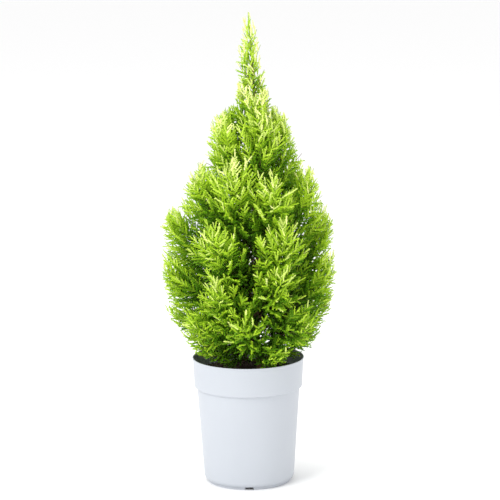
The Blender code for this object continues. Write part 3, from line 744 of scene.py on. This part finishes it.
def twigs_of(name, line, bare, size):
    """A plume's twigs: feet on the stem by the golden angle, as long as the plume is wide there, and
    cut shorter where the tip would leave the crown. Returns their paths, their shares along the stem,
    their lengths and the plume's random numbers."""
    rng = np.random.default_rng([SEED, sum(map(ord, name))])
    length = np.linalg.norm(np.diff(line, axis=0), axis=1).sum()
    start = LEADER_START if name == "leader" else CORE_START
    count = int((TWIG_END - start) * length / TWIG_STEP)
    share = ((np.arange(count) + 0.5) / count) ** TWIG_CROWDING
    place, way = along(line, start + (TWIG_END - start) * share)
    side = around(way, np.arange(count) * GOLDEN_ANGLE + rng.uniform(-0.25, 0.25, count))
    scatter = rng.uniform(-TWIG_LEAN_SCATTER, TWIG_LEAN_SCATTER, count)
    lean = np.radians(TWIG_LEAN - TWIG_LEAN_LOSS * share + scatter)
    reach = size * PLUME_HALF_WIDTH * plume_width(share) * rng.uniform(0.75, 1.12, count) / np.sin(lean)
    out = np.cos(lean)[:, None] * way + np.sin(lean)[:, None] * side
    kept = np.zeros(count)
    for cut in TWIG_CUTS:
        kept = np.where(within(place + cut * reach[:, None] * (out + TWIG_RISE * way), share), cut, kept)
    t = np.linspace(0.0, 1.0, TWIG_POINTS)[None, :, None]
    long = (kept * reach)[:, None, None]
    paths = place[:, None, :] + long * (t * out[:, None, :] + TWIG_RISE * t**2 * way[:, None, :])
    keep = kept > 0.0
    return paths[keep], share[keep], (kept * reach)[keep], rng


def shoots_of(paths, shares, lengths, rng):
    """The shoots of a plume's twigs: in two rows along each twig, alternately left and right, and
    one at its tip. Returns their feet, frames, lengths, shares along the twig, and their twigs."""
    feet, ways, leans, sizes, spots, owners = [], [], [], [], [], []
    for index, (path, length) in enumerate(zip(paths, lengths)):
        count = max(int(length / SHOOT_STEP), 3)
        spot = (np.arange(count) + rng.uniform(0.2, 0.8)) / count
        foot, way = along(path, 0.06 + 0.92 * spot)
        turn = np.arange(count) * np.pi + rng.normal(0.0, 0.40, count) + rng.uniform(0, np.pi)
        side = around(way, turn)
        scatter = rng.uniform(-SHOOT_LEAN_SCATTER, SHOOT_LEAN_SCATTER, count)
        lean = np.radians(SHOOT_LEAN - SHOOT_LEAN_LOSS * spot + scatter)
        lean[-1] = TIP_SHOOT_LEAN
        feet.append(foot)
        ways.append(np.cos(lean)[:, None] * way + np.sin(lean)[:, None] * side)
        leans.append(way)
        profile = np.sin(np.pi * (0.22 + 0.66 * spot)) ** 0.9
        shrink = min(1.0, 0.45 + length / SHORT_TWIG)
        sizes.append(SHOOT_LENGTH * (0.30 + 0.70 * profile) * rng.uniform(0.75, 1.15, count) * shrink)
        spots.append(spot)
        owners.append(np.full(count, index))
    feet, ways, leans = np.vstack(feet), np.vstack(ways), np.vstack(leans)
    sizes, spots, owners = np.concatenate(sizes), np.concatenate(spots), np.concatenate(owners)
    keep = within(feet + sizes[:, None] * ways, shares[owners])
    keep &= np.linalg.norm(feet[:, None] - trunk_path(60)[None], axis=2).min(axis=1) > TRUNK_CLEAR
    parallel = np.linalg.norm(np.cross(ways, leans), axis=1, keepdims=True) <= 1e-6
    leans = np.where(parallel, leans + (0.01, 0.02, 0.03), leans)
    return feet[keep], frames(ways, leans)[keep], sizes[keep], spots[keep], owners[keep]


def tone_of(feet, spots, stem_shares, rng):
    """Which plain colour each shoot gets: more golden out and at the twig and stem tips,
    painted shade deeper inside the crown, and painted light higher up.
    """
    middle, radius = crown_ring(feet[:, 2])
    outer = np.hypot(feet[:, 0] - middle, feet[:, 1]) / radius
    height = (feet[:, 2] - SOIL_TOP) / (TREE_TOP - SOIL_TOP)
    # Painted shade darkens shoots inside the crown, and painted light lightens them higher up.
    tone = TONE_BASE + TONE_OUTER_AND_PAINTED_SHADE * outer**2 + TONE_SPOT * spots + TONE_STEM * stem_shares
    tone += TONE_HEIGHT_PAINTED_LIGHT * height**2 + rng.normal(0.0, TONE_SCATTER, len(feet))
    return np.clip(tone * TONES, 0, TONES - 1).astype(int)


tone_finishes = []
for index in range(TONES):
    share = index / (TONES - 1)
    channels = zip(DEEP_AND_PAINTED_SHADE, MID, BRIGHT, GOLD_AND_PAINTED_LIGHT)
    colour = [float(np.interp(share, TONE_STOPS, channel)) for channel in channels]
    tone_finishes.append(Finish(f"needles_{index + 1}", colour, 0.6))
    tone_finishes[-1].feed("Specular IOR Level", 0.25)
twig_finishes = [Finish("young_bark", YOUNG_BARK, 0.75), Finish("green_twig", GREEN_TWIG, 0.65)]

shoot_kinds = [shoot_shape(seed) for seed in range(SHOOT_KINDS)]
shoot_faces = facing_out(*shoot_kinds[0])
shoot_points = np.stack([points for points, _ in shoot_kinds])
groups = {"crest": ("leader", "flank", "shoulder"), **{tier: (tier,) for tier in list(TIERS)[2:]}}
for group, tiers in groups.items():
    masses = [name for name in limbs if name.split("_")[0] in tiers]
    needles, tones, stems, twigs, twig_green = [], [], [], [], []
    for name in masses:
        line, bare, size = limbs[name]
        paths, shares, lengths, rng = twigs_of(name, line, bare, size)
        feet, facing, sizes, spots, owners = shoots_of(paths, shares, lengths, rng)
        shape = shoot_points[rng.integers(0, SHOOT_KINDS, len(feet))]
        scale = sizes[:, None, None] * np.array([1.0, SHOOT_WIDENING, SHOOT_WIDENING])
        needles.append(feet[:, None, :] + np.einsum("npk,nkj->npj", shape * scale, facing))
        tones.append(tone_of(feet, spots, shares[owners], rng))
        kind = "leader" if name == "leader" else "bare" if bare else "leafy"
        stems.append(along(line, np.linspace(bare + STEM_STARTS[kind], STEM_END, STEM_ROWS))[0])
        leafy = np.bincount(owners, minlength=len(paths)) >= FEWEST_SHOOTS
        twigs.append(paths[leafy])
        twig_green.append(shares[leafy] > (LEADER_GREEN_START if name == "leader" else GREEN_START))

    needles, tones = np.concatenate(needles), np.concatenate(tones)
    count, corners = needles.shape[:2]
    faces = (shoot_faces[None] + (np.arange(count) * corners)[:, None, None]).reshape(-1, 3)
    sprays = add_mesh(group + "_sprays", needles.reshape(-1, 3), faces, tone_finishes, False,
                      np.repeat(tones, len(shoot_faces)))

    stems, twigs, twig_green = np.array(stems), np.concatenate(twigs), np.concatenate(twig_green)
    stem_radii = np.linspace(STEM_RADIUS, STEM_TIP_RADIUS, STEM_ROWS)
    stem_points, stem_faces = swept(stems, stem_radii, STEM_SIDES)
    twig_radii = np.linspace(TWIG_RADIUS, 0.5 * TWIG_RADIUS, TWIG_POINTS)
    twig_points, twig_faces = swept(twigs, twig_radii, TWIG_SIDES)
    faces_of_stem = len(stem_faces) // len(stems)
    stem_green = np.arange(faces_of_stem) >= faces_of_stem // 2
    green = np.concatenate([np.tile(stem_green, len(stems)),
                            np.repeat(twig_green, len(twig_faces) // len(twigs))])
    wood = add_mesh(group + "_twigs", np.vstack([stem_points, twig_points]),
                    np.vstack([stem_faces, twig_faces + len(stem_points)]), twig_finishes, True, green)
    for piece, slot in ((sprays, "needles"), (wood, "bough_bark")):
        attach(piece, "root")
        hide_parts(*(name + "_foliage" for name in masses))
    print(group, "sprays", len(faces), "triangles; twigs", len(stem_faces) + len(twig_faces))


# The studio. A pale floor that runs back out of view, a white surround, and two large soft lights:
# a key high on the left and a wider, weaker one overhead.
FLOOR_HALF = 30.0
LIGHTS_AIM = (0.0, 0.0, 0.27)
CAMERA_PLACE = (0.0, -3.0, 0.8425)
CAMERA_PITCH = math.radians(10.74)
CAMERA_ROLL = math.radians(-0.565)
CAMERA_YAW = math.radians(-0.065)
CAMERA_LENS = 190.3
CAMERA_SENSOR = 36.0
CAMERA_FAR = 100.0
# Each light's name, place, size and power in watts.
LIGHTS = (("key", (-1.3, -1.5, 1.9), 1.0, 29.0), ("overhead", (-0.2, 0.1, 2.2), 1.2, 18.0))

corners = np.array([[x, y, 0.0] for x, y in ((-1, -1), (1, -1), (1, 1), (-1, 1))]) * FLOOR_HALF
floor_finish = Finish("studio_floor", (0.96, 0.96, 0.96), 0.9)
floor = add_mesh("studio_floor", corners, np.array([[0, 1, 2, 3]]), [floor_finish], False)

world = bpy.data.worlds.new("studio")
bpy.context.scene.world = world
world.use_nodes = True
surround = world.node_tree.nodes["Background"]
surround.inputs["Color"].default_value = (1.0, 1.0, 1.0, 1.0)
surround.inputs["Strength"].default_value = 1.0

for name, place, size, power in LIGHTS:
    lamp = bpy.data.lights.new(name, "AREA")
    lamp.size = size
    lamp.energy = power
    light = bpy.data.objects.new(name, lamp)
    light.location = place
    light.rotation_euler = (Vector(LIGHTS_AIM) - light.location).to_track_quat("-Z", "Y").to_euler()
    bpy.context.scene.collection.objects.link(light)

camera = bpy.data.objects.new("camera", bpy.data.cameras.new("camera"))
camera.data.lens = CAMERA_LENS
camera.data.sensor_width = CAMERA_SENSOR
camera.data.clip_end = CAMERA_FAR
camera.matrix_world = (Matrix.Translation(CAMERA_PLACE) @ Matrix.Rotation(CAMERA_YAW, 4, "Z")
                       @ Matrix.Rotation(math.pi / 2.0 - CAMERA_PITCH, 4, "X")
                       @ Matrix.Rotation(CAMERA_ROLL, 4, "Z"))
bpy.context.scene.collection.objects.link(camera)
bpy.context.scene.camera = camera
bpy.context.scene.view_settings.view_transform = "Standard"
